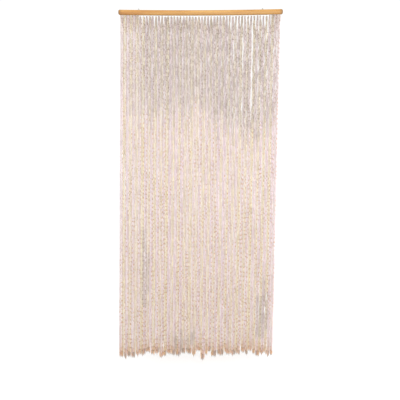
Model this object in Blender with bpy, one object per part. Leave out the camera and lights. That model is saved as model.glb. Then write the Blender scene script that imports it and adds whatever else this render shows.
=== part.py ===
"""Bead curtain: two rows of strands of tube beads under a bowed wooden bar with two hanging eyes.

Metres, +Z up. The origin is the middle of the bar's flat back, and the curtain faces -Y.
"""
import math
import random

import bmesh
import bpy

BAR_LENGTH = 0.915
BAR_HEIGHT = 0.028
BAR_DEPTH = 0.026
BAR_BOW = 0.0045
BAR_BACK_CHAMFER = 0.0012
BAR_FRONT_CROWN = 0.0015
BAR_FRONT_ROUND = 0.0095
BAR_END_ROUND = 0.010
BAR_END_TURN = math.radians(76.0)
BAR_END_DRAW = 0.8
BAR_STATIONS = 15
BAR_END_STEPS = 4
BAR_ROUND_STEPS = 4
BAR_SHARP_ANGLE = math.radians(35.0)

PAIRS = 52
PITCH = 0.01712
FRONT_ROW_Y = -0.0157
BACK_ROW_Y = -0.0063
GAP = 0.0003

STRIP_LENGTH = 0.890
STRIP_DEPTH = 0.0034
STRIP_HEIGHT = 0.0027
GROOVE_LENGTH = STRIP_LENGTH + 2.0 * GAP

CORD_DROP = 0.008
CORD_HALF = 0.0010
ROOT_HALF = 0.0012
BEAD_HALF = 0.0040
SHOULDER = 0.0020
TIP_HALF = 0.0030
BODY_SEGMENTS = 8
STATION_EASE = 0.60

STRAND_LENGTH = 1.931
LENGTH_SPREAD = 0.004
LEAN = 0.0182
SPLAY = PITCH / 4.0
SPLAY_REACH = (0.014, 0.095)
LOOSE_FROM = 0.150
LOOSE_REACH = (0.060, 0.170)
PAIRED_FROM = -0.335
PAIRED_TO = 0.392
WANDER = 0.0005
WANDER_WAVE = (0.50, 0.90)
WANDER_REACH = 0.30
PART_FALLOFF = 0.030
PART_EASE = 0.035
BUNCH_START = 0.048
BUNCH_PULL = 0.15
BUNCH_SLOPE = 0.40

EYE_PLACE = 0.344
EYE_WIRE = 0.0011
EYE_RADIUS = 0.0027
EYE_SHANK = 0.012
EYE_LIFT = 0.0004
EYE_STEPS = 14
EYE_BEVEL_STEPS = 2
EYE_START = math.radians(-62.0)
EYE_SWEEP = math.radians(296.0)
EYE_HOLE = 0.0016
HOLE_SIDES = 12

# Where neighbouring strands stand apart, in mm: place along the bar, upper end, lower end, width.
PARTINGS = (
    (188, 130, 260, 5.0),
    (214, 40, 110, 4.0),
    (240, 90, 300, 5.5),
    (240, 450, 550, 5.0),
    (291, 60, 540, 6.5),
    (308, 240, 330, 4.0),
    (325, 220, 330, 4.5),
    (355, 240, 360, 3.5),
    (371, 40, 170, 5.0),
    (375, 270, 370, 4.5),
    (402, 1570, 1630, 7.0),
    (394, 1645, 1710, 5.5),
    (256, 1860, 1930, 4.5),
    (-185, 1840, 1920, 4.0),
    (63, 1260, 1340, 3.0),
)

# Bunches of tips, in mm: place along the bar, and drop below the common length.
BUNCHES = (
    (-434, 17),
    (-410, 23),
    (-387, 17),
    (-361, 17),
    (-338, 6),
    (-311, 5),
    (-276, -12),
    (-247, 0),
    (-227, -6),
    (-201, 18),
    (-180, 6),
    (-154, -6),
    (-131, 0),
    (-105, 7),
    (-73, -6),
    (-41, -6),
    (-12, 5),
    (12, -22),
    (38, 30),
    (58, 0),
    (76, -18),
    (102, 12),
    (140, 4),
    (186, 0),
    (215, 6),
    (247, 0),
    (271, -14),
    (291, 3),
    (314, -16),
    (335, 0),
    (358, 13),
    (381, 0),
    (416, 12),
    (439, 6),
)

PINE = ("pine", (0.80, 0.49, 0.19), 0.42, 0.0)
WHITEWASH = ("whitewash", (0.76, 0.65, 0.57), 0.62, 0.0)
STEEL = ("steel", (0.42, 0.42, 0.38), 0.35, 1.0)


def clear_scene():
    for item in list(bpy.data.objects):
        bpy.data.objects.remove(item)


def make_material(finish):
    name, colour, roughness, metallic = finish
    material = bpy.data.materials.get(name)
    if material:
        return material
    material = bpy.data.materials.new(name)
    material.use_nodes = True
    shader = material.node_tree.nodes["Principled BSDF"]
    shader.inputs["Base Color"].default_value = (*colour, 1.0)
    shader.inputs["Roughness"].default_value = roughness
    shader.inputs["Metallic"].default_value = metallic
    return material


def link(name, data, finish=None):
    item = bpy.data.objects.new(name, data)
    bpy.context.scene.collection.objects.link(item)
    if finish:
        data.materials.append(make_material(finish))
    return item


def finish_mesh(name, shape, finish=None):
    bmesh.ops.recalc_face_normals(shape, faces=shape.faces)
    mesh = bpy.data.meshes.new(name)
    shape.to_mesh(mesh)
    shape.free()
    return link(name, mesh, finish)


def make_cutter(item):
    item.hide_render = True
    item.display_type = "WIRE"
    return item


def cut(item, cutter):
    step = item.modifiers.new("cut " + cutter.name, "BOOLEAN")
    step.operation = "DIFFERENCE"
    step.solver = "EXACT"
    step.object = cutter


def bridge(shape, near, far):
    count = len(near)
    for i in range(count):
        j = (i + 1) % count
        shape.faces.new((near[i], near[j], far[j], far[i]))


def loft(name, rings, finish=None):
    """Join rings of equal length into one solid with a flat cap on each end."""
    shape = bmesh.new()
    loops = [[shape.verts.new(point) for point in ring] for ring in rings]
    for near, far in zip(loops, loops[1:]):
        bridge(shape, near, far)
    shape.faces.new(list(reversed(loops[0])))
    shape.faces.new(loops[-1])
    return finish_mesh(name, shape, finish)


def ease(value):
    value = min(max(value, 0.0), 1.0)
    return value * value * (3.0 - 2.0 * value)


def bow(x):
    """Height of the bar's middle line: the beads' weight bows it, so its ends stand higher."""
    return BAR_BOW * (2.0 * x / BAR_LENGTH) ** 2


def underside(x):
    return bow(x) - BAR_HEIGHT / 2.0


def bar_outline():
    """Half outline of the bar's end, from its flat back over the top to the middle of its front."""
    half = BAR_HEIGHT / 2.0
    crown_y = -BAR_DEPTH
    face_y = crown_y + BAR_FRONT_CROWN
    points = [(0.0, half - BAR_BACK_CHAMFER), (-BAR_BACK_CHAMFER, half)]
    for step in range(BAR_ROUND_STEPS + 1):
        angle = math.pi / 2.0 * step / BAR_ROUND_STEPS
        y = face_y + BAR_FRONT_ROUND * (1.0 - math.sin(angle))
        z = half - BAR_FRONT_ROUND * (1.0 - math.cos(angle))
        points.append((y, z))
    points.append((crown_y, 0.0))
    return points


def bar_ring(x, shrink):
    """The bar's section at x, drawn in by shrink towards the middle of its back."""
    upper = bar_outline()
    lower = [(y, -z) for y, z in reversed(upper[:-1])]
    depth = (BAR_DEPTH - shrink) / BAR_DEPTH
    height = (BAR_HEIGHT / 2.0 - shrink) / (BAR_HEIGHT / 2.0)
    return [(x, y * depth, bow(x) + z * height) for y, z in upper + lower]


def bar_places():
    """Places of the bar's sections with how far each is drawn in, rounded at both ends."""
    half = BAR_LENGTH / 2.0
    flat = half - BAR_END_ROUND
    places = []
    for step in range(BAR_STATIONS + 1):
        places.append((-flat + 2.0 * flat * step / BAR_STATIONS, 0.0))
    for step in range(1, BAR_END_STEPS + 1):
        angle = BAR_END_TURN * step / BAR_END_STEPS
        x = flat + BAR_END_ROUND * math.sin(angle)
        shrink = BAR_END_ROUND * (1.0 - math.cos(angle)) * BAR_END_DRAW
        places.append((x, shrink))
        places.insert(0, (-x, shrink))
    return places


def strip_places(length):
    half = length / 2.0
    return [-half + length * step / BAR_STATIONS for step in range(BAR_STATIONS + 1)]


def make_groove(name, row_y):
    """Cutter for the groove under the bar that one row's strip is seated in."""
    reach = STRIP_DEPTH / 2.0 + GAP
    rings = []
    for x in strip_places(GROOVE_LENGTH):
        low = underside(x) - STRIP_HEIGHT
        high = underside(x) + STRIP_HEIGHT + GAP
        rings.append([(x, row_y - reach, low), (x, row_y + reach, low),
                      (x, row_y + reach, high), (x, row_y - reach, high)])
    return make_cutter(loft(name, rings))


def eye_height(place):
    return bow(place) + BAR_HEIGHT / 2.0


def make_eye_hole(name, place):
    """Cutter for the blind hole that an eye's shank stands in."""
    rings = []
    top = eye_height(place)
    for z in (top - EYE_SHANK - GAP, top + EYE_SHANK):
        ring = []
        for side in range(HOLE_SIDES):
            angle = 2.0 * math.pi * side / HOLE_SIDES
            ring.append((place + EYE_HOLE * math.cos(angle),
                         -BAR_DEPTH / 2.0 + EYE_HOLE * math.sin(angle), z))
        rings.append(ring)
    return make_cutter(loft(name, rings))


def make_bar():
    bar = loft("header_bar", [bar_ring(x, shrink) for x, shrink in bar_places()], PINE)
    cut(bar, make_groove("groove_front", FRONT_ROW_Y))
    cut(bar, make_groove("groove_back", BACK_ROW_Y))
    cut(bar, make_eye_hole("hole_left", -EYE_PLACE))
    cut(bar, make_eye_hole("hole_right", EYE_PLACE))
    bar.data.shade_smooth()
    bar.data.set_sharp_from_angle(angle=BAR_SHARP_ANGLE)
    return bar


def make_eye(name, place):
    """Wire bent to an eye, with a straight shank that stands in the bar."""
    top = eye_height(place)
    route = [(0.0, -EYE_SHANK), (0.0, -EYE_SHANK / 2.0), (0.0, EYE_LIFT / 2.0)]
    centre = EYE_WIRE + EYE_RADIUS + EYE_LIFT
    for step in range(EYE_STEPS + 1):
        angle = EYE_START + EYE_SWEEP * step / EYE_STEPS
        route.append((EYE_RADIUS * math.cos(angle), centre + EYE_RADIUS * math.sin(angle)))
    curve = bpy.data.curves.new(name, "CURVE")
    curve.dimensions = "3D"
    curve.bevel_depth = EYE_WIRE
    curve.bevel_resolution = EYE_BEVEL_STEPS
    curve.use_fill_caps = True
    spline = curve.splines.new("POLY")
    spline.points.add(len(route) - 1)
    for point, (across, up) in zip(spline.points, route):
        point.co = (place + across, -BAR_DEPTH / 2.0, top + up, 1.0)
    return link(name, curve, STEEL)


def parting(x, depth):
    """How far a strand at x is pushed aside where strands stand apart."""
    push = 0.0
    for place, upper, lower, width in PARTINGS:
        away = x - place / 1000.0
        near = max(1.0 - abs(away) / PART_FALLOFF, 0.0)
        inside = ease((depth - upper / 1000.0) / PART_EASE) * ease((lower / 1000.0 - depth) / PART_EASE)
        push += math.copysign(width / 2000.0 * near * inside, away)
    return push


def nearest_bunch(x):
    return min(BUNCHES, key=lambda bunch: abs(x - bunch[0] / 1000.0))


class Strand:
    """The path of one strand, by its depth below the bar."""

    def __init__(self, pair, row_y):
        front = row_y == FRONT_ROW_Y
        draw = random.Random(2 * pair + (1 if front else 0))
        self.y = row_y
        self.middle = PITCH * (pair - (PAIRS - 1) / 2.0)
        self.side = -1.0 if front else 1.0
        self.paired = PAIRED_FROM < self.middle < PAIRED_TO
        self.reach = draw.uniform(*(LOOSE_REACH if self.middle > LOOSE_FROM else SPLAY_REACH))
        self.wave = draw.uniform(*WANDER_WAVE)
        self.phase = draw.uniform(0.0, 2.0 * math.pi)
        home = self.middle + self.side * SPLAY
        bunch, drop = nearest_bunch(home)
        self.pull = (bunch / 1000.0 - home) * BUNCH_PULL
        short = abs(bunch / 1000.0 - home) * BUNCH_SLOPE
        self.length = STRAND_LENGTH + drop / 1000.0 - short + draw.uniform(-1.0, 1.0) * LENGTH_SPREAD

    def x(self, depth):
        spread = ease(depth / self.reach) if self.paired else 1.0
        home = self.middle + self.side * SPLAY * spread
        sway = WANDER * ease(depth / WANDER_REACH) * math.sin(2.0 * math.pi * depth / self.wave + self.phase)
        bunching = self.pull * ease((depth - self.length + BUNCH_START) / BUNCH_START)
        return home - LEAN * depth + sway + bunching + parting(home, depth)

    def stations(self):
        """Depths of the sections down to where the bunching starts, closer together at both ends."""
        top = CORD_DROP + SHOULDER
        span = self.length - BUNCH_START - top
        depths = []
        for step in range(BODY_SEGMENTS + 1):
            share = step / BODY_SEGMENTS
            share -= STATION_EASE * math.sin(2.0 * math.pi * share) / (2.0 * math.pi)
            depths.append(top + span * share)
        return depths

    def rings(self):
        """Square sections below the root: the cord, the first bead's shoulder, the body and the tip."""
        level = underside(self.middle)
        sizes = [(CORD_DROP, CORD_HALF)]
        sizes += [(depth, BEAD_HALF) for depth in self.stations()]
        sizes.append((self.length, TIP_HALF))
        rings = []
        for depth, half in sizes:
            x = self.x(depth)
            z = level - depth
            rings.append([(x - half, self.y - half, z), (x + half, self.y - half, z),
                          (x + half, self.y + half, z), (x - half, self.y + half, z)])
        return rings


def make_row(name, row_y):
    """One row of strands, fused at their roots into the strip that is seated in the bar."""
    strands = [Strand(pair, row_y) for pair in range(PAIRS)]
    edges = [-STRIP_LENGTH / 2.0]
    for strand in strands:
        edges += [strand.x(0.0) - ROOT_HALF, strand.x(0.0) + ROOT_HALF]
    edges.append(STRIP_LENGTH / 2.0)
    shape = bmesh.new()
    half = STRIP_DEPTH / 2.0
    sections = []
    for x in edges:
        low = underside(x)
        high = low + STRIP_HEIGHT
        corners = ((row_y - half, low), (row_y + half, low), (row_y + half, high), (row_y - half, high))
        sections.append([shape.verts.new((x, y, z)) for y, z in corners])
    for index, (near, far) in enumerate(zip(sections, sections[1:])):
        for side in (1, 2, 3):
            after = (side + 1) % 4
            shape.faces.new((near[side], near[after], far[after], far[side]))
        if index % 2 == 0:
            shape.faces.new((near[0], near[1], far[1], far[0]))
    shape.faces.new(list(reversed(sections[0])))
    shape.faces.new(sections[-1])
    for index, strand in enumerate(strands):
        left, right = sections[2 * index + 1], sections[2 * index + 2]
        loop = [left[0], right[0], right[1], left[1]]
        for ring in strand.rings():
            after = [shape.verts.new(point) for point in ring]
            bridge(shape, loop, after)
            loop = after
        shape.faces.new(loop)
    return finish_mesh(name, shape, WHITEWASH)


def main():
    clear_scene()
    make_bar()
    make_row("strands_front", FRONT_ROW_Y)
    make_row("strands_back", BACK_ROW_Y)
    make_eye("screw_eye_left", -EYE_PLACE)
    make_eye("screw_eye_right", EYE_PLACE)


main()
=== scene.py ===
"""Looks of the bead curtain: two rows of whitewashed tube beads under a honey-coloured bar."""
import math
import random

import bmesh
import bpy
import numpy as np
from mathutils import Matrix, Vector


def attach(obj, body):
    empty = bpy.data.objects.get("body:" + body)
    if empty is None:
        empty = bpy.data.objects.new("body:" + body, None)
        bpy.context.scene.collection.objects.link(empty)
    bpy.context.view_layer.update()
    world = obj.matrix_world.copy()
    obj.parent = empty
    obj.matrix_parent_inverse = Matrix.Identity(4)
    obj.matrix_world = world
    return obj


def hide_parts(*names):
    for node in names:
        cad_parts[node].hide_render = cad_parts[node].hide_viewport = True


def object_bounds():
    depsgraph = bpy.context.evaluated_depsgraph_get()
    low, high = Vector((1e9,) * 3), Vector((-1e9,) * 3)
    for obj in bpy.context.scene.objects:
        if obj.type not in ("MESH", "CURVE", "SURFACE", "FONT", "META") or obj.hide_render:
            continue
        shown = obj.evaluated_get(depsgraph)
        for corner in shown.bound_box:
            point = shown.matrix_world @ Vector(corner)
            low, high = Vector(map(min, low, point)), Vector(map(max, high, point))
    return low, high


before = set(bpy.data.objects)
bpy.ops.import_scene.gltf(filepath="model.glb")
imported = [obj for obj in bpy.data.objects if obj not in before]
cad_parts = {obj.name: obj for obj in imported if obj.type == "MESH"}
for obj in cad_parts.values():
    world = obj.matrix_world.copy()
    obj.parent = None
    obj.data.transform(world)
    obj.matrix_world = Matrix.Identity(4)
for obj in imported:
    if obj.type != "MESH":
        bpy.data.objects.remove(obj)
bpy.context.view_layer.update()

# The bar, its grooves and its holes, as in the frame, in metres.
BAR_LENGTH = 0.915
BAR_HEIGHT = 0.028
BAR_DEPTH = 0.026
BAR_BOW = 0.0045
BAR_BACK_CHAMFER = 0.0012
BAR_FRONT_CROWN = 0.0015
BAR_FRONT_ROUND = 0.0095
BAR_END_ROUND = 0.010
BAR_END_TURN = math.radians(76.0)
BAR_END_DRAW = 0.8
BAR_STATIONS = 46
BAR_END_STEPS = 8
BAR_ROUND_STEPS = 8
BAR_SHARP_ANGLE = math.radians(40.0)
STRIP_LENGTH = 0.890
STRIP_DEPTH = 0.0034
STRIP_HEIGHT = 0.0027
GAP = 0.0003
EYE_PLACE = 0.344
EYE_SHANK = 0.012
EYE_HOLE = 0.0016
HOLE_SIDES = 24

# How the strands hang, as in the frame, in metres.
PAIRS = 52
PITCH = 0.01712
FRONT_ROW_Y = -0.0157
BACK_ROW_Y = -0.0063
DROP_INNER = (0.0050, 0.0100)
DROP_OUTER = (0.0010, 0.0030)
STRAND_LENGTH = 1.931
LENGTH_SPREAD = 0.004
LEAN = 0.0182
SPLAY = PITCH / 4.0
SPLAY_REACH = (0.014, 0.095)
LOOSE_FROM = 0.150
LOOSE_REACH = (0.060, 0.170)
PAIRED_FROM = -0.335
PAIRED_TO = 0.392
WANDER = 0.0005
WANDER_WAVE = (0.50, 0.90)
WANDER_REACH = 0.30
PART_FALLOFF = 0.030
PART_EASE = 0.035
BUNCH_START = 0.048
BUNCH_PULL = 0.15
BUNCH_SLOPE = 0.40

# The strands' fine ripple and the sway of their joints, stronger where they hang loose in the upper right.
RIPPLE = 0.0009
LOOSE_RIPPLE = 0.0014
RIPPLE_WAVE = (0.060, 0.120)
RIPPLE_REACH = 0.90
RIPPLE_FADE = 0.85
JOINT_SWAY = 0.0003
LOOSE_SWAY = 0.0011
LOOSE_TO = 0.62

# Where neighbouring strands stand apart, in mm: place along the bar, upper end, lower end, width.
PARTINGS = (
    (188, 130, 260, 5.0),
    (214, 40, 110, 4.0),
    (240, 90, 300, 5.5),
    (240, 450, 550, 5.0),
    (291, 60, 540, 6.5),
    (308, 240, 330, 4.0),
    (325, 220, 330, 4.5),
    (355, 240, 360, 3.5),
    (371, 40, 170, 5.0),
    (375, 270, 370, 4.5),
    (402, 1570, 1630, 7.0),
    (394, 1645, 1710, 5.5),
    (256, 1860, 1930, 4.5),
    (-185, 1840, 1920, 4.0),
    (63, 1260, 1340, 3.0),
)

# Bunches of tips, in mm: place along the bar, and drop below the common length.
BUNCHES = (
    (-434, 17),
    (-410, 23),
    (-387, 17),
    (-361, 17),
    (-338, 6),
    (-311, 5),
    (-276, -12),
    (-247, 0),
    (-227, -6),
    (-201, 18),
    (-180, 6),
    (-154, -6),
    (-131, 0),
    (-105, 7),
    (-73, -6),
    (-41, -6),
    (-12, 5),
    (12, -22),
    (38, 30),
    (58, 0),
    (76, -18),
    (102, 12),
    (140, 4),
    (186, 0),
    (215, 6),
    (247, 0),
    (271, -14),
    (291, 3),
    (314, -16),
    (335, 0),
    (358, 13),
    (381, 0),
    (416, 12),
    (439, 6),
)

# The beads: their spacing, then their size in metres and their profile as shares of that size.
BEAD_PITCH = 0.0250
BEAD_PITCH_SPREAD = 0.25
PITCH_DRIFT = 0.025
FIRST_BEAD = (0.35, 1.0)
BEAD_RADIUS = 0.0045
BEAD_RADIUS_DRAW = (-0.060, 0.024)
BEAD_OVAL = 0.05
BEAD_SIDES = 8
BEAD_CHAMFER = 0.0012
SHOULDER_WIDTH = 0.97
SHOULDER_WORN = 0.92
BELLY_WIDTH = 1.02
TIP_TAPER = 0.50

# Gap to the next bead and width of the rim, of a sound bead and of a worn one.
BEAD_GAPS = (0.0003, 0.0008)
BEAD_RIMS = (0.95, 0.82)

# The cord, in metres.
CORD_RADIUS = 0.0009
CORD_SIDES = 5
CORD_RISE = 0.002

# The knot under the last bead and the cord's tail, in metres: drop below the bead, radius.
KNOT_PROFILE = (
    (0.0004, 0.0009),
    (0.0010, 0.0017),
    (0.0024, 0.0020),
    (0.0038, 0.0015),
    (0.0044, 0.0007),
    (0.0084, 0.0008),
)

# The two rows: label, place in the bar's depth, and the frame's node that the row's pieces replace.
ROWS = (
    ("front", FRONT_ROW_Y, "strands_front"),
    ("back", BACK_ROW_Y, "strands_back"),
)
STRANDS_PER_PIECE = 26

# Pairs of strands are threaded in turn with creamy and with rosy beads.
CREAM_HUE = 0.20
ROSE_HUE = 0.80
HUE_SPREAD = 0.16

# The paint's tint and wear drift along a strand in steps, and each bead differs a little from its place.
LIGHT_STEPS = 40
LIGHT_SHARE = 0.35
RIM_SPREAD = 0.40
FRONT_SOUND = (0.70, 1.15)
BACK_SOUND = (0.30, 1.05)
WEAR_STEP = 0.35
WEAR_BELOW = 0.25

# Painted shade on the beads by depth below the bar: darker close under it, where the bar shades them, and
# again near the hem, where the light falls off.
SHADE_UNDER_BAR = 0.12
SHADE_FROM = 1.05
SHADE_REACH = 0.65
SHADE_NEAR_HEM = 0.46

# Some strands end in ashen beads, the others in tan ones.
ASH_FROM = 0.55
ASH_FADE = 0.25

# How bare the lowest beads are, from the tip upwards: least, most.
TIP_BROWN = (
    (0.75, 1.0),
    (0.30, 0.65),
    (0.05, 0.35),
    (0.0, 0.12),
)

# Silvery beads: place along the bar in mm, lower end of the silvery stretch in mm, how silvery in percent.
SILVER = (
    (-440, 420, 26),
    (-350, 520, 42),
    (-320, 540, 74),
    (-240, 560, 92),
    (-80, 540, 92),
    (-30, 460, 90),
    (50, 570, 96),
    (200, 630, 100),
    (340, 630, 94),
    (400, 600, 76),
    (440, 420, 50),
)
SILVER_RAGGED = 0.080
SILVER_FADE = 0.120
# Close under the bar the beads turn greyer, over this reach.
GREYER_UNDER_BAR = 0.35
GREYER_UNDER_REACH = 0.060

# Silvery stretches further down, in mm: place along the bar, upper end, lower end.
SILVER_STREAKS = (
    (-304, 1180, 1640),
    (-287, 1320, 1560),
    (-120, 1790, 1880),
    (-88, 1770, 1890),
    (-54, 1800, 1880),
    (-20, 1780, 1860),
    (352, 1560, 1830),
    (369, 1590, 1830),
    (386, 1480, 1830),
    (402, 1560, 1790),
)
SILVER_IN_STREAKS = 0.85
STREAK_REACH = 0.010

# Tones from dark to light, each with its place on the ramp.
PAINT_TONES = ((0.0, (0.81, 0.715, 0.68)), (0.45, (0.895, 0.80, 0.77)), (1.0, (0.975, 0.885, 0.86)))
SILVER_TONES = ((0.0, (0.51, 0.455, 0.42)), (0.45, (0.66, 0.59, 0.545)), (1.0, (0.85, 0.77, 0.715)))
STREAK_TONES = ((0.30, (0.90, 0.87, 0.84)), (0.62, (1.0, 1.0, 1.0)))
CANE_TONES = ((0.25, (0.47, 0.25, 0.105)), (0.55, (0.73, 0.445, 0.225)), (0.8, (0.87, 0.60, 0.34)))
TIP_TONES = ((0.25, (0.42, 0.20, 0.08)), (0.55, (0.76, 0.43, 0.21)), (0.8, (0.98, 0.66, 0.40)))
ASH_TONES = ((0.25, (0.29, 0.19, 0.14)), (0.55, (0.50, 0.37, 0.28)), (0.8, (0.69, 0.54, 0.43)))
SOILED_TONES = ((0.1, (0.22, 0.19, 0.15)), (0.7, (0.45, 0.40, 0.33)))
CLEAN_TONES = ((0.1, (0.62, 0.56, 0.45)), (0.7, (0.92, 0.87, 0.78)))
RING_TONES = ((0.28, (0.50, 0.24, 0.05)), (0.47, (0.71, 0.40, 0.115)), (0.70, (0.80, 0.51, 0.19)))
WARP_TONES = ((0.30, (0.90, 0.80, 0.74)), (0.62, (1.0, 1.0, 1.0)))
FIBRE_TONES = ((0.30, (0.84, 0.78, 0.70)), (0.60, (1.0, 1.0, 1.0)))
TARNISH_TONES = ((0.35, (0.16, 0.16, 0.14)), (0.60, (0.42, 0.42, 0.39)), (0.8, (0.55, 0.55, 0.52)))
BACKDROP_TONES = ((0.3, (0.96, 0.96, 0.96)), (0.7, (0.98, 0.98, 0.98)))

# Tinge of the paint from creamy to rosy, and how far silvery beads lose it for a cool one.
TINGES = ((0.0, (1.0, 1.0, 0.73)), (0.5, (1.0, 0.975, 0.91)), (1.0, (0.985, 0.92, 1.0)))
COOL = (0.985, 0.968, 0.965)
SILVER_COOLING = 0.30
SILVER_STRENGTH = 0.71

# Where the bead's edge is bare, how strongly its grain shows, and how brown the lowest beads are.
BARE_EDGE = ((0.58, 0.0), (0.70, 0.78))
STREAK_STRENGTH = 0.75
TIP_RIM = (0.26, 0.15, 0.10)
TIP_RIM_STRENGTH = 0.6
TIP_STRENGTH = 0.8

# Each row's paint, out of the painted shade and under it in full. The back row is painted lighter to make
# up for the shade of the front row that it hangs in; both rows are the same whitewash.
FRONT_LIT = (0.664, 0.656, 0.676)
FRONT_SHADED = (0.592, 0.562, 0.552)
BACK_LIT = (0.904, 0.914, 0.952)
BACK_SHADED = (0.802, 0.782, 0.782)

# The cord's twist, and how far below the bar's middle it is clean.
TWIST_SCALE = 260.0
TWIST_DISTORTION = 1.5
CORD_CLEAN_TO = 0.045
CORD_CLEAN_RATE = 60.0

# Painted shade and highlight over the bar's height, from the lower to the upper edge: darker towards the
# lower edge, with a painted highlight along the upper part; then painted shade on the lower half of its
# left end.
SHADE_AND_HIGHLIGHT_TONES = (
    (0.05, (0.90, 0.92, 1.0)),
    (0.24, (0.86, 0.84, 0.84)),
    (0.60, (1.0, 1.0, 1.0)),
    (0.76, (1.10, 1.12, 1.18)),
    (0.97, (0.97, 1.0, 1.06)),
)
# Painted shade at the bar's left end: where it starts, how fast it deepens, its colour, and over which
# share of the height it fades.
LEFT_END_SHADE_FROM = -0.27
LEFT_END_SHADE_RATE = 12.0
LEFT_END_SHADE = (0.92, 0.85, 0.78)
LEFT_END_SHADE_HEIGHT = ((0.38, 1.0), (0.62, 0.0))

# The bar's varnish, and its darker end grain.
VARNISH = (0.69, 0.63, 0.50)
WARP_STRENGTH = 0.9
FIBRE_STRENGTH = 0.7
END_GRAIN = (0.27, 0.15, 0.07)
END_GRAIN_REACH = 0.024
END_GRAIN_RATE = 40.0
END_GRAIN_FADE = ((0.10, 0.0), (0.95, 0.75))
COAT_WEIGHT = 0.10
COAT_ROUGHNESS = 0.35

# Noises: scale, detail, roughness, stretch along the three axes, distortion.
BEAD_GRAIN = (900.0, 5.0, 0.6, (1.0, 1.0, 0.05), 0.0)
BEAD_PATCHES = (240.0, 3.0, 0.6, (1.0, 1.0, 0.30), 0.0)
PINE_WARP = (6.0, 3.0, 0.5, (0.35, 1.0, 1.0), 0.0)
PINE_RINGS = (150.0, 4.0, 0.55, (0.035, 1.0, 1.0), 0.6)
PINE_FIBRES = (1500.0, 3.0, 0.6, (0.02, 1.0, 1.0), 0.0)
WIRE_MARKS = (2400.0, 3.0, 0.6, (1.0, 1.0, 0.1), 0.0)
WIRE_TARNISH = (420.0, 4.0, 0.6, (1.0, 1.0, 1.0), 0.0)
BACKDROP_MOTTLE = (3.0, 2.0, 0.5, (1.0, 1.0, 1.0), 0.0)

# Bumps: strength, and depth in metres.
BEAD_BUMP = (0.35, 0.0002)
CORD_BUMP = (0.5, 0.0003)
PINE_BUMP = (0.15, 0.0002)
WIRE_BUMP = (0.2, 0.0001)

# Roughness: the least, and what a noise adds to it. Cord and backdrop are even.
BEAD_ROUGHNESS = (0.45, 0.25)
PINE_ROUGHNESS = (0.42, 0.16)
WIRE_ROUGHNESS = (0.25, 0.35)
CORD_ROUGHNESS = 0.85
BACKDROP_ROUGHNESS = 0.9

# The floor: half its width, and how far it lies below the strands' tips.
FLOOR_REACH = 14.0
FLOOR_DROP = 0.06

# Lights: name, place, what it points at, width and height, power.
LIGHTS = (
    ("key", (0.5, -3.6, -0.4), (0.0, 0.0, -0.95), (1.4, 1.4), 60.0),
    ("fill", (-2.0, -3.0, -0.9), (0.0, 0.0, -1.0), (1.6, 2.0), 5.0),
    ("top", (0.0, -1.6, 2.4), (0.0, 0.2, -1.2), (4.0, 3.0), 22.0),
)
WORLD_STRENGTH = 1.06

# The camera, from the photograph's framing.
IMAGE_WIDTH = 400.0
SENSOR = 36.0
FOCAL_PIXELS = 703.0
CAMERA_DISTANCE = 4.0
CAMERA_X = -0.0076
CAMERA_Z = -0.688
CAMERA_PITCH = math.radians(5.125)
CAMERA_ROLL = math.radians(0.24)


def ease(value):
    value = min(max(value, 0.0), 1.0)
    return value * value * (3.0 - 2.0 * value)


def bow(x):
    return BAR_BOW * (2.0 * x / BAR_LENGTH) ** 2


def underside(x):
    return bow(x) - BAR_HEIGHT / 2.0


def parting(x, depth):
    """How far a strand at x is pushed aside where strands stand apart."""
    push = 0.0
    for place, upper, lower, width in PARTINGS:
        away = x - place / 1000.0
        near = max(1.0 - abs(away) / PART_FALLOFF, 0.0)
        inside = ease((depth - upper / 1000.0) / PART_EASE) * ease((lower / 1000.0 - depth) / PART_EASE)
        push += math.copysign(width / 2000.0 * near * inside, away)
    return push


def silver_at(x):
    """Lower end of the silvery stretch at a place along the bar, and how silvery it is."""
    places = [row[0] / 1000.0 for row in SILVER]
    depths = [row[1] / 1000.0 for row in SILVER]
    amounts = [row[2] / 100.0 for row in SILVER]
    return float(np.interp(x, places, depths)), float(np.interp(x, places, amounts))


def nearest_bunch(x):
    return min(BUNCHES, key=lambda bunch: abs(x - bunch[0] / 1000.0))


def drift(values, depth):
    """A value that changes slowly along a strand, from a few even steps."""
    return float(np.interp(depth, np.linspace(0.0, STRAND_LENGTH, LIGHT_STEPS), values))


def bend_rooms(spots):
    """Room that the beads need on each side of a joint, so that their rims clear where the cord bends."""
    steps = np.diff(spots, axis=0)
    steps /= np.linalg.norm(steps, axis=1)[:, None]
    turns = np.arccos(np.clip(np.sum(steps[1:] * steps[:-1], axis=1), -1.0, 1.0))
    return [0.0, *(BEAD_RADIUS * np.tan(turns / 2.0)), 0.0]


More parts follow.
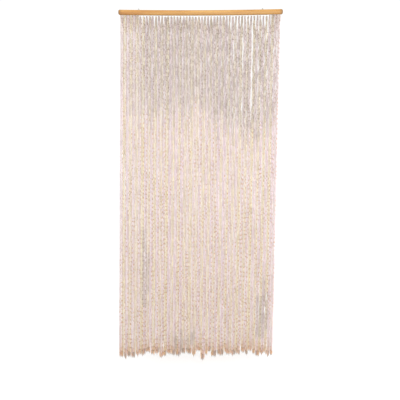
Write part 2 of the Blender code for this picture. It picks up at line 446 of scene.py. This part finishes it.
class Strand:
    """One strand: its path by depth below the bar, the joints between its beads, and how they look."""

    def __init__(self, pair, row_y):
        front = row_y == FRONT_ROW_Y
        draw = random.Random(2 * pair + (1 if front else 0))
        self.y = row_y
        self.middle = PITCH * (pair - (PAIRS - 1) / 2.0)
        self.side = -1.0 if front else 1.0
        self.paired = PAIRED_FROM < self.middle < PAIRED_TO
        self.reach = draw.uniform(*(LOOSE_REACH if self.middle > LOOSE_FROM else SPLAY_REACH))
        self.wave = draw.uniform(*WANDER_WAVE)
        self.phase = draw.uniform(0.0, 2.0 * math.pi)
        home = self.middle + self.side * SPLAY
        bunch, drop = nearest_bunch(home)
        self.pull = (bunch / 1000.0 - home) * BUNCH_PULL
        short = abs(bunch / 1000.0 - home) * BUNCH_SLOPE
        self.length = STRAND_LENGTH + drop / 1000.0 - short + draw.uniform(-1.0, 1.0) * LENGTH_SPREAD
        self.draw = draw
        self.ripple = draw.uniform(*RIPPLE_WAVE)
        creamy = pair % 2 == 1 and pair < PAIRS - 1
        self.hue = (CREAM_HUE if creamy else ROSE_HUE) + HUE_SPREAD * draw.uniform(-1.0, 1.0)
        self.lights = [draw.uniform(0.0, 1.0) for _ in range(LIGHT_STEPS)]
        self.wears = [draw.uniform(0.0, 1.0) for _ in range(LIGHT_STEPS)]
        self.sound = draw.uniform(*(FRONT_SOUND if front else BACK_SOUND))
        reach, self.silvery = silver_at(self.middle)
        self.silver_end = reach + SILVER_RAGGED * draw.uniform(-1.0, 1.0)
        self.joints = self.thread_beads()
        self.spots = [self.sway_joint(depth) for depth in self.joints]
        self.rooms = bend_rooms(self.spots)
        self.ash = ease((draw.uniform(0.0, 1.0) - ASH_FROM) / ASH_FADE)

    def x(self, depth):
        spread = ease(depth / self.reach) if self.paired else 1.0
        home = self.middle + self.side * SPLAY * spread
        wave = math.sin(2.0 * math.pi * depth / self.wave + self.phase)
        sway = WANDER * ease(depth / WANDER_REACH) * wave
        bunching = self.pull * ease((depth - self.length + BUNCH_START) / BUNCH_START)
        return home - LEAN * depth + sway + bunching + parting(home, depth)

    def thread_beads(self):
        """Depths of the joints between beads: the cord shows above the first and below the last."""
        drop = self.draw.uniform(*(DROP_INNER if self.paired else DROP_OUTER))
        span = self.length - drop
        count = round(span / (BEAD_PITCH * (1.0 + self.draw.uniform(-1.0, 1.0) * PITCH_DRIFT)))
        shares = [1.0 + self.draw.uniform(-1.0, 1.0) * BEAD_PITCH_SPREAD for _ in range(count)]
        shares[0] = self.draw.uniform(*FIRST_BEAD)
        step = span / sum(shares)
        depths = [drop]
        for share in shares:
            depths.append(depths[-1] + share * step)
        return depths

    def point(self, depth):
        size = LOOSE_RIPPLE if self.middle > LOOSE_FROM else RIPPLE
        fade = 1.0 - RIPPLE_FADE * ease(depth / RIPPLE_REACH)
        ripple = size * fade * math.sin(2.0 * math.pi * depth / self.ripple + self.phase)
        return np.array((self.x(depth) + ripple, self.y, underside(self.middle) - depth))

    def sway_joint(self, depth):
        """Where a joint lies: beads sit a little askew on their cord, more so where strands hang loose."""
        loose = self.middle > LOOSE_FROM and depth < LOOSE_TO
        size = LOOSE_SWAY if loose else JOINT_SWAY
        sway = (self.draw.uniform(-1.0, 1.0) * size, self.draw.uniform(-1.0, 1.0) * JOINT_SWAY, 0.0)
        return self.point(depth) + np.array(sway)

    def light(self, depth):
        """Tint of the paint, which drifts along the strand."""
        return drift(self.lights, depth)

    def wear(self, depth):
        """How far the paint has worn off the beads' rims, in runs of a few beads."""
        sound = self.sound - WEAR_BELOW * depth / STRAND_LENGTH
        return ease((drift(self.wears, depth) - sound) / WEAR_STEP + 0.5)

    def silver(self, depth):
        """How silvery the beads are at a depth; close under the bar they turn greyer."""
        amount = 1.0 - ease((depth - self.silver_end) / SILVER_FADE + 0.5)
        amount += GREYER_UNDER_BAR * (1.0 - ease(depth / GREYER_UNDER_REACH))
        amount *= self.silvery
        for place, upper, lower in SILVER_STREAKS:
            near = abs(self.middle + self.side * SPLAY - place / 1000.0) < STREAK_REACH
            if near and upper / 1000.0 < depth < lower / 1000.0:
                amount = max(amount, SILVER_IN_STREAKS)
        return amount


def mesh_from_arrays(name, points, quads, caps):
    """Mesh from numpy arrays: smooth four-cornered faces, then flat cap faces of one corner count."""
    mesh = bpy.data.meshes.new(name)
    mesh.vertices.add(len(points))
    mesh.vertices.foreach_set("co", points.astype(np.float32).ravel())
    sizes = np.concatenate([np.full(len(quads), 4), np.full(len(caps), caps.shape[1])])
    corners = np.concatenate([quads.ravel(), caps.ravel()])
    mesh.loops.add(len(corners))
    mesh.loops.foreach_set("vertex_index", corners.astype(np.int32))
    mesh.polygons.add(len(sizes))
    starts = np.concatenate([[0], np.cumsum(sizes)[:-1]])
    mesh.polygons.foreach_set("loop_start", starts.astype(np.int32))
    smooth = np.concatenate([np.full(len(quads), True), np.full(len(caps), False)])
    mesh.polygons.foreach_set("use_smooth", smooth)
    mesh.update(calc_edges=True)
    mesh.validate()
    return mesh


def link(name, data):
    item = bpy.data.objects.new(name, data)
    bpy.context.scene.collection.objects.link(item)
    return item


def add_colours(mesh, name, values):
    """Store four numbers for each point, which the bead material reads."""
    colours = mesh.attributes.new(name, "FLOAT_COLOR", "POINT")
    colours.data.foreach_set("color", values.astype(np.float32).ravel())


def ring_faces(rings, sides):
    """Corner numbers of the faces between neighbouring rings of one tube."""
    ring = np.arange(rings - 1)[:, None]
    side = np.arange(sides)[None, :]
    after = (side + 1) % sides
    low, high = ring * sides, (ring + 1) * sides
    return np.stack([low + side, high + side, high + after, low + after], axis=-1).reshape(-1, 4)


def bead_profile(length, rim, tip):
    """Rings of a bead: distance along it, radius as a share of the bead's, and how worn it is."""
    chamfer = BEAD_CHAMFER / length
    end = TIP_TAPER if tip else rim
    last_shoulder = (SHOULDER_WIDTH + end) / 2.0 if tip else SHOULDER_WIDTH
    return (
        (0.0, rim, 1.0),
        (chamfer, SHOULDER_WIDTH, SHOULDER_WORN),
        (0.5, BELLY_WIDTH, 0.0),
        (1.0 - chamfer, last_shoulder, SHOULDER_WORN),
        (1.0, end, 1.0),
    )


def bead_ends(strand, index, gap):
    """Upper and lower end of a bead, which stops short of the joints of its cord."""
    upper, lower = strand.spots[index:index + 2]
    axis = (lower - upper) / np.linalg.norm(lower - upper)
    above, below = strand.rooms[index:index + 2]
    return upper + axis * (gap / 2.0 + above), lower - axis * (gap / 2.0 + below)


def bead_rings(ends, size, tone, look):
    """Points and tones of one bead."""
    radius, turn, oval = size
    rim, tip = look
    start, end = ends
    axis = end - start
    length = np.linalg.norm(axis)
    axis = axis / length
    across = np.array((1.0, 0.0, 0.0)) - axis * axis[0]
    across /= np.linalg.norm(across)
    forward = np.cross(axis, across)
    angles = turn + 2.0 * np.pi * np.arange(BEAD_SIDES) / BEAD_SIDES
    circle = np.outer(np.cos(angles) * (1.0 + oval), across)
    circle += np.outer(np.sin(angles) * (1.0 - oval), forward)
    points, tones = [], []
    for share, width, worn in bead_profile(length, rim, tip):
        points.append(start + axis * share * length + circle * radius * width)
        tones.append(np.tile((tone[0], worn, tone[1], tone[2]), (BEAD_SIDES, 1)))
    return np.concatenate(points), np.concatenate(tones)


def between(ends, share):
    return ends[0] + (ends[1] - ends[0]) * share


def shade_at(depth):
    """Painted shade on the beads at a depth below the bar: darker close under the bar, where it shades
    them, and towards the hem, where the light falls off.
    """
    lower = SHADE_NEAR_HEM * ease((depth - SHADE_FROM) / SHADE_REACH)
    return lower + (1.0 - ease(depth / SHADE_UNDER_BAR))


def browning(index, last, draw):
    """The lowest bead of a strand is left bare, and the ones above are partly rubbed off."""
    rows = TIP_BROWN[last - index] if last - index < len(TIP_BROWN) else (0.0, 0.0)
    return draw.uniform(*rows)


def bead_tones(strand, index, last):
    """Tint, browning and shade of one bead, then its hue, rim wear and silver."""
    draw = strand.draw
    depth = strand.joints[index]
    tint = LIGHT_SHARE * strand.light(depth) + (1.0 - LIGHT_SHARE) * draw.uniform(0.0, 1.0)
    tone = (tint, browning(index, last, draw), shade_at(depth))
    rim = min(max(strand.wear(depth) + RIM_SPREAD * draw.uniform(-1.0, 1.0), 0.0), 1.0)
    grey = strand.ash if index == last else strand.silver(depth)
    mood = (strand.hue + HUE_SPREAD * draw.uniform(-1.0, 1.0), rim, grey, 1.0)
    return tone, mood


def make_beads(name, strands, front):
    points, tones, moods = [], [], []
    for strand in strands:
        draw = strand.draw
        last = len(strand.joints) - 2
        for index in range(last + 1):
            tone, mood = bead_tones(strand, index, last)
            size = (
                BEAD_RADIUS * (1.0 + draw.uniform(*BEAD_RADIUS_DRAW)),
                draw.uniform(0.0, math.pi),
                draw.uniform(-1.0, 1.0) * BEAD_OVAL,
            )
            ends = bead_ends(strand, index, between(BEAD_GAPS, mood[1]))
            look = (between(BEAD_RIMS, mood[1]), index == last)
            ring_points, ring_tones = bead_rings(ends, size, tone, look)
            points.append(ring_points)
            tones.append(ring_tones)
            moods.append(np.tile(mood, (len(ring_points), 1)))
    count = len(points)
    rings = len(bead_profile(BEAD_PITCH, BEAD_RIMS[0], False))
    per_bead = rings * BEAD_SIDES
    offsets = (np.arange(count) * per_bead)[:, None, None]
    quads = (ring_faces(rings, BEAD_SIDES)[None] + offsets).reshape(-1, 4)
    top = np.arange(BEAD_SIDES)
    bottom = np.arange(BEAD_SIDES)[::-1] + (rings - 1) * BEAD_SIDES
    caps = (np.stack([top, bottom])[None] + offsets).reshape(-1, BEAD_SIDES)
    mesh = mesh_from_arrays(name, np.concatenate(points), quads, caps)
    add_colours(mesh, "tone", np.concatenate(tones))
    add_colours(mesh, "mood", np.concatenate(moods))
    mesh.materials.append(bead_material(front))
    return link(name, mesh)


def cord_rows(strand):
    """Points and radii of one cord: out of the groove, through the beads, then knot and tail."""
    last = strand.spots[-1]
    rows = [(np.array((strand.x(0.0), strand.y, underside(strand.middle) + CORD_RISE)), CORD_RADIUS)]
    rows += [(spot, CORD_RADIUS) for spot in strand.spots[:-1]]
    for drop, radius in KNOT_PROFILE:
        rows.append((last - np.array((0.0, 0.0, drop)), radius))
    return rows


def make_cords(name, strands):
    points, quads, caps = [], [], []
    base = 0
    angles = 2.0 * np.pi * np.arange(CORD_SIDES) / CORD_SIDES
    circle = np.stack([np.cos(angles), np.sin(angles), np.zeros(CORD_SIDES)], axis=-1)
    for strand in strands:
        rows = cord_rows(strand)
        for point, radius in rows:
            points.append(point + circle * radius)
        quads.append(ring_faces(len(rows), CORD_SIDES) + base)
        top = np.arange(CORD_SIDES) + base
        bottom = np.arange(CORD_SIDES)[::-1] + base + (len(rows) - 1) * CORD_SIDES
        caps += [top, bottom]
        base += len(rows) * CORD_SIDES
    mesh = mesh_from_arrays(name, np.concatenate(points), np.concatenate(quads), np.stack(caps))
    mesh.materials.append(cord_material())
    return link(name, mesh)


def bar_outline():
    """Half outline of the bar's end, from its flat back over the top to the middle of its front."""
    half = BAR_HEIGHT / 2.0
    crown_y = -BAR_DEPTH
    face_y = crown_y + BAR_FRONT_CROWN
    points = [(0.0, half - BAR_BACK_CHAMFER), (-BAR_BACK_CHAMFER, half)]
    for step in range(BAR_ROUND_STEPS + 1):
        angle = math.pi / 2.0 * step / BAR_ROUND_STEPS
        y = face_y + BAR_FRONT_ROUND * (1.0 - math.sin(angle))
        z = half - BAR_FRONT_ROUND * (1.0 - math.cos(angle))
        points.append((y, z))
    points.append((crown_y, 0.0))
    return points


def bar_ring(x, shrink):
    upper = bar_outline()
    lower = [(y, -z) for y, z in reversed(upper[:-1])]
    depth = (BAR_DEPTH - shrink) / BAR_DEPTH
    height = (BAR_HEIGHT / 2.0 - shrink) / (BAR_HEIGHT / 2.0)
    return [(x, y * depth, bow(x) + z * height) for y, z in upper + lower]


def bar_places():
    half = BAR_LENGTH / 2.0
    flat = half - BAR_END_ROUND
    places = []
    for step in range(BAR_STATIONS + 1):
        places.append((-flat + 2.0 * flat * step / BAR_STATIONS, 0.0))
    for step in range(1, BAR_END_STEPS + 1):
        angle = BAR_END_TURN * step / BAR_END_STEPS
        x = flat + BAR_END_ROUND * math.sin(angle)
        shrink = BAR_END_ROUND * (1.0 - math.cos(angle)) * BAR_END_DRAW
        places.append((x, shrink))
        places.insert(0, (-x, shrink))
    return places


def loft(name, rings):
    """Join rings of equal length into one closed mesh with a flat cap on each end."""
    shape = bmesh.new()
    loops = [[shape.verts.new(point) for point in ring] for ring in rings]
    for near, far in zip(loops, loops[1:]):
        for i in range(len(near)):
            j = (i + 1) % len(near)
            shape.faces.new((near[i], near[j], far[j], far[i]))
    shape.faces.new(list(reversed(loops[0])))
    shape.faces.new(loops[-1])
    bmesh.ops.recalc_face_normals(shape, faces=shape.faces)
    mesh = bpy.data.meshes.new(name)
    shape.to_mesh(mesh)
    shape.free()
    return link(name, mesh)


def groove_cutter(name, row_y):
    reach = STRIP_DEPTH / 2.0 + GAP
    length = STRIP_LENGTH + 2.0 * GAP
    rings = []
    for step in range(BAR_STATIONS + 1):
        x = -length / 2.0 + length * step / BAR_STATIONS
        low = underside(x) - STRIP_HEIGHT
        high = underside(x) + STRIP_HEIGHT + GAP
        rings.append([(x, row_y - reach, low), (x, row_y + reach, low),
                      (x, row_y + reach, high), (x, row_y - reach, high)])
    return loft(name, rings)


def hole_cutter(name, place):
    rings = []
    top = bow(place) + BAR_HEIGHT / 2.0
    for z in (top - EYE_SHANK - GAP, top + EYE_SHANK):
        ring = []
        for side in range(HOLE_SIDES):
            angle = 2.0 * math.pi * side / HOLE_SIDES
            ring.append((place + EYE_HOLE * math.cos(angle),
                         -BAR_DEPTH / 2.0 + EYE_HOLE * math.sin(angle), z))
        rings.append(ring)
    return loft(name, rings)


def make_lath(name, row_y):
    """Narrow lath in the bar's groove, which holds the knots of one row's cords."""
    half = STRIP_DEPTH / 2.0
    rings = []
    for step in range(BAR_STATIONS + 1):
        x = -STRIP_LENGTH / 2.0 + STRIP_LENGTH * step / BAR_STATIONS
        low, high = underside(x), underside(x) + STRIP_HEIGHT
        rings.append([(x, row_y - half, low), (x, row_y + half, low),
                      (x, row_y + half, high), (x, row_y - half, high)])
    lath = loft(name, rings)
    lath.data.materials.append(bpy.data.materials["pine_varnish"])
    return lath


def apply_modifiers(item):
    evaluated = item.evaluated_get(bpy.context.evaluated_depsgraph_get())
    mesh = bpy.data.meshes.new_from_object(evaluated)
    item.modifiers.clear()
    item.data = mesh


def make_bar():
    bar = loft("bar", [bar_ring(x, shrink) for x, shrink in bar_places()])
    cutters = [
        groove_cutter("groove_front", FRONT_ROW_Y),
        groove_cutter("groove_back", BACK_ROW_Y),
        hole_cutter("hole_left", -EYE_PLACE),
        hole_cutter("hole_right", EYE_PLACE),
    ]
    for cutter in cutters:
        step = bar.modifiers.new(cutter.name, "BOOLEAN")
        step.operation = "DIFFERENCE"
        step.solver = "EXACT"
        step.object = cutter
    apply_modifiers(bar)
    for cutter in cutters:
        bpy.data.objects.remove(cutter)
    bar.data.shade_smooth()
    bar.data.set_sharp_from_angle(angle=BAR_SHARP_ANGLE)
    bar.data.materials.clear()
    bar.data.materials.append(pine_material())
    return bar


class Nodes:
    """Short way to build one material's nodes."""

    def __init__(self, name):
        self.material = bpy.data.materials.new(name)
        self.material.use_nodes = True
        self.tree = self.material.node_tree
        self.shader = self.tree.nodes["Principled BSDF"]

    def add(self, kind, **settings):
        node = self.tree.nodes.new(kind)
        for key, value in settings.items():
            if key in node.inputs:
                node.inputs[key].default_value = value
            else:
                setattr(node, key, value)
        return node

    def join(self, source, target):
        self.tree.links.new(source, target)

    def place(self, scale):
        """Position in the piece's own metres, stretched by scale."""
        where = self.add("ShaderNodeTexCoord")
        mapping = self.add("ShaderNodeMapping", Scale=scale)
        self.join(where.outputs["Object"], mapping.inputs["Vector"])
        return mapping.outputs["Vector"]

    def noise(self, scale, detail, roughness, stretch, distortion):
        node = self.add("ShaderNodeTexNoise", Scale=scale, Detail=detail, Roughness=roughness,
                        Distortion=distortion)
        self.join(self.place(stretch), node.inputs["Vector"])
        return node.outputs["Fac"]

    def ramp(self, source, stops):
        node = self.add("ShaderNodeValToRGB")
        points = node.color_ramp.elements
        while len(points) < len(stops):
            points.new(0.5)
        for point, (position, colour) in zip(points, stops):
            grey = isinstance(colour, float)
            point.position = position
            point.color = (colour, colour, colour, 1.0) if grey else (*colour, 1.0)
        self.join(source, node.inputs["Fac"])
        return node.outputs["Color"]

    def math(self, operation, a, b=None, clamp=False):
        node = self.add("ShaderNodeMath", operation=operation, use_clamp=clamp)
        for socket, value in zip(node.inputs, (a, b)):
            if value is None:
                continue
            if isinstance(value, (int, float)):
                socket.default_value = value
            else:
                self.join(value, socket)
        return node.outputs["Value"]

    def mix(self, factor, a, b, blend="MIX"):
        node = self.add("ShaderNodeMix", data_type="RGBA", blend_type=blend)
        sockets = (node.inputs[0], node.inputs[6], node.inputs[7])
        for socket, value in zip(sockets, (factor, a, b)):
            if isinstance(value, (int, float)):
                socket.default_value = value
            elif isinstance(value, tuple):
                socket.default_value = (*value, 1.0)
            else:
                self.join(value, socket)
        return node.outputs[2]

    def bump(self, height, strength, distance):
        node = self.add("ShaderNodeBump", Strength=strength, Distance=distance)
        self.join(height, node.inputs["Height"])
        self.join(node.outputs["Normal"], self.shader.inputs["Normal"])

    def uneven(self, source, least, more):
        """A roughness that follows a noise."""
        return self.math("ADD", self.math("MULTIPLY", source, more), least)

    def finish(self, colour, roughness):
        """Set the shader's colour and roughness, and return the material."""
        self.join(colour, self.shader.inputs["Base Color"])
        if isinstance(roughness, float):
            self.shader.inputs["Roughness"].default_value = roughness
        else:
            self.join(roughness, self.shader.inputs["Roughness"])
        return self.material


def bead_material(front):
    """Whitewashed cane: pale paint with the cane's grain, worn to bare cane at the bead's ends.

    The mesh's tone holds tint, wear, browning and painted shade, and its mood holds hue, rim wear and
    silver.
    """
    nodes = Nodes("whitewash_front" if front else "whitewash_back")
    tone = nodes.add("ShaderNodeAttribute", attribute_name="tone")
    parts = nodes.add("ShaderNodeSeparateColor")
    nodes.join(tone.outputs["Color"], parts.inputs["Color"])
    tint, worn, brown = parts.outputs[0], parts.outputs[1], parts.outputs[2]
    shade = tone.outputs["Alpha"]
    mood = nodes.add("ShaderNodeAttribute", attribute_name="mood")
    moods = nodes.add("ShaderNodeSeparateColor")
    nodes.join(mood.outputs["Color"], moods.inputs["Color"])
    hue, rim, silver = moods.outputs[0], moods.outputs[1], moods.outputs[2]
    grain = nodes.noise(*BEAD_GRAIN)
    patches = nodes.noise(*BEAD_PATCHES)
    paint = nodes.ramp(tint, PAINT_TONES)
    grey = nodes.ramp(tint, SILVER_TONES)
    paint = nodes.mix(nodes.math("MULTIPLY", silver, SILVER_STRENGTH), paint, grey)
    tinge = nodes.mix(nodes.math("MULTIPLY", silver, SILVER_COOLING), nodes.ramp(hue, TINGES), COOL)
    paint = nodes.mix(1.0, paint, tinge, "MULTIPLY")
    paint = nodes.mix(STREAK_STRENGTH, paint, nodes.ramp(grain, STREAK_TONES), "MULTIPLY")
    ashen = nodes.ramp(grain, ASH_TONES)
    cane = nodes.mix(silver, nodes.ramp(grain, CANE_TONES), ashen)
    edge = nodes.math("MULTIPLY", nodes.math("ADD", worn, patches), 0.5)
    bare = nodes.ramp(edge, BARE_EDGE)
    colour = nodes.mix(nodes.math("MULTIPLY", bare, rim), paint, cane)
    tan = nodes.mix(silver, nodes.ramp(grain, TIP_TONES), ashen)
    tan = nodes.mix(nodes.math("MULTIPLY", bare, TIP_RIM_STRENGTH), tan, TIP_RIM)
    colour = nodes.mix(nodes.math("MULTIPLY", brown, TIP_STRENGTH), colour, tan)
    # Painted shade and painted light: each row's paint darkens with the painted shade by depth, and the
    # back row's paint is painted lighter to make up for the front row's shade.
    clean, shaded = (FRONT_LIT, FRONT_SHADED) if front else (BACK_LIT, BACK_SHADED)
    colour = nodes.mix(1.0, colour, nodes.mix(shade, clean, shaded), "MULTIPLY")
    nodes.bump(grain, *BEAD_BUMP)
    return nodes.finish(colour, nodes.uneven(patches, *BEAD_ROUGHNESS))


def cord_material():
    """Twisted cotton cord, clean at the bar and soiled further down."""
    nodes = Nodes("cord")
    where = nodes.place((1.0, 1.0, 1.0))
    wave = nodes.add("ShaderNodeTexWave", Scale=TWIST_SCALE, Distortion=TWIST_DISTORTION,
                     bands_direction="DIAGONAL")
    nodes.join(where, wave.inputs["Vector"])
    axes = nodes.add("ShaderNodeSeparateXYZ")
    nodes.join(where, axes.inputs["Vector"])
    twist = wave.outputs["Fac"]
    above = nodes.math("ADD", axes.outputs["Z"], CORD_CLEAN_TO)
    high = nodes.math("MULTIPLY", above, CORD_CLEAN_RATE, True)
    colour = nodes.mix(high, nodes.ramp(twist, SOILED_TONES), nodes.ramp(twist, CLEAN_TONES))
    nodes.bump(twist, *CORD_BUMP)
    return nodes.finish(colour, CORD_ROUGHNESS)


def pine_material():
    """Honey-varnished pine with its grain along the bar and darker end grain, with painted shade towards
    its lower edge and on its left end, and a painted highlight along its upper part.
    """
    nodes = Nodes("pine_varnish")
    warp = nodes.noise(*PINE_WARP)
    rings = nodes.noise(*PINE_RINGS)
    fibres = nodes.noise(*PINE_FIBRES)
    colour = nodes.ramp(rings, RING_TONES)
    colour = nodes.mix(WARP_STRENGTH, colour, nodes.ramp(warp, WARP_TONES), "MULTIPLY")
    colour = nodes.mix(FIBRE_STRENGTH, colour, nodes.ramp(fibres, FIBRE_TONES), "MULTIPLY")
    where = nodes.add("ShaderNodeTexCoord")
    axes = nodes.add("ShaderNodeSeparateXYZ")
    nodes.join(where.outputs["Object"], axes.inputs["Vector"])
    x, z = axes.outputs["X"], axes.outputs["Z"]
    along = nodes.math("ABSOLUTE", x)
    share = share_of_height(nodes, along, z)
    # Painted shade towards the bar's lower edge and a painted highlight along its upper part.
    colour = nodes.mix(1.0, colour, nodes.ramp(share, SHADE_AND_HIGHLIGHT_TONES), "MULTIPLY")
    # Painted shade on the lower half of the bar's left end.
    leftwards = nodes.math("MULTIPLY", nodes.math("SUBTRACT", LEFT_END_SHADE_FROM, x), LEFT_END_SHADE_RATE, True)
    left_shaded = nodes.math("MULTIPLY", leftwards, nodes.ramp(share, LEFT_END_SHADE_HEIGHT))
    colour = nodes.mix(left_shaded, colour, nodes.mix(1.0, colour, LEFT_END_SHADE, "MULTIPLY"))
    outer = nodes.math("SUBTRACT", along, BAR_LENGTH / 2.0 - END_GRAIN_REACH)
    end = nodes.ramp(nodes.math("MULTIPLY", outer, END_GRAIN_RATE), END_GRAIN_FADE)
    colour = nodes.mix(end, colour, END_GRAIN)
    colour = nodes.mix(1.0, colour, VARNISH, "MULTIPLY")
    nodes.bump(fibres, *PINE_BUMP)
    nodes.shader.inputs["Coat Weight"].default_value = COAT_WEIGHT
    nodes.shader.inputs["Coat Roughness"].default_value = COAT_ROUGHNESS
    return nodes.finish(colour, nodes.uneven(rings, *PINE_ROUGHNESS))


def share_of_height(nodes, along, z):
    """Height on the bowed bar, from 0 at its lower edge to 1 at its upper edge."""
    rise = nodes.math("MULTIPLY", nodes.math("MULTIPLY", along, along), 4.0 * BAR_BOW / BAR_LENGTH ** 2)
    height = nodes.math("DIVIDE", nodes.math("SUBTRACT", z, rise), BAR_HEIGHT)
    return nodes.math("ADD", height, 0.5)


def steel_material():
    """Dull zinc wire with fine draw marks and darker tarnish."""
    nodes = Nodes("zinc_wire")
    marks = nodes.noise(*WIRE_MARKS)
    tarnish = nodes.noise(*WIRE_TARNISH)
    nodes.shader.inputs["Metallic"].default_value = 1.0
    nodes.bump(marks, *WIRE_BUMP)
    return nodes.finish(nodes.ramp(tarnish, TARNISH_TONES), nodes.uneven(tarnish, *WIRE_ROUGHNESS))


def backdrop_material():
    nodes = Nodes("pale_backdrop")
    mottle = nodes.noise(*BACKDROP_MOTTLE)
    return nodes.finish(nodes.ramp(mottle, BACKDROP_TONES), BACKDROP_ROUGHNESS)


def make_floor():
    """Pale floor below the strands' tips."""
    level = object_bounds()[0][2] - FLOOR_DROP
    corners = [(x * FLOOR_REACH, y * FLOOR_REACH, level) for x, y in ((-1, -1), (1, -1), (1, 1), (-1, 1))]
    mesh = bpy.data.meshes.new("floor")
    mesh.from_pydata(corners, [], [(0, 1, 2, 3)])
    mesh.materials.append(backdrop_material())
    floor = link("floor", mesh)


def area_light(name, place, aim, size, power):
    data = bpy.data.lights.new(name, "AREA")
    data.shape = "RECTANGLE"
    data.size, data.size_y = size
    data.energy = power
    light = link(name, data)
    light.location = place
    light.rotation_euler = (Vector(aim) - Vector(place)).to_track_quat("-Z", "Y").to_euler()


def light_scene():
    world = bpy.data.worlds.new("studio")
    world.use_nodes = True
    background = world.node_tree.nodes["Background"]
    background.inputs["Color"].default_value = (1.0, 1.0, 1.0, 1.0)
    background.inputs["Strength"].default_value = WORLD_STRENGTH
    bpy.context.scene.world = world
    for light in LIGHTS:
        area_light(*light)


def make_camera():
    data = bpy.data.cameras.new("camera")
    data.sensor_width = SENSOR
    data.lens = FOCAL_PIXELS * SENSOR / IMAGE_WIDTH
    camera = link("camera", data)
    level = Matrix.Rotation(math.pi / 2.0 - CAMERA_PITCH, 4, "X")
    roll = Matrix.Rotation(-CAMERA_ROLL, 4, "Z")
    camera.matrix_world = Matrix.Translation((CAMERA_X, -CAMERA_DISTANCE, CAMERA_Z)) @ level @ roll
    bpy.context.scene.camera = camera


def make_strands():
    for label, row_y, node in ROWS:
        strands = [Strand(pair, row_y) for pair in range(PAIRS)]
        pieces = []
        for part in range(0, PAIRS, STRANDS_PER_PIECE):
            side = "left" if part == 0 else "right"
            group = strands[part:part + STRANDS_PER_PIECE]
            pieces.append(make_beads("beads_" + label + "_" + side, group, label == "front"))
        pieces.append(make_cords("cords_" + label, strands))
        pieces.append(make_lath("lath_" + label, row_y))
        for piece in pieces:
            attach(piece, "root")
            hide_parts(node)


def main():
    bpy.context.scene.view_settings.view_transform = "Standard"
    make_camera()
    light_scene()
    make_floor()
    bar = make_bar()
    make_strands()
    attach(bar, "root")
    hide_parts("header_bar")
    for name in ("screw_eye_left", "screw_eye_right"):
        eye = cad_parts[name]
        eye.data.materials.clear()
        eye.data.materials.append(steel_material())


main()
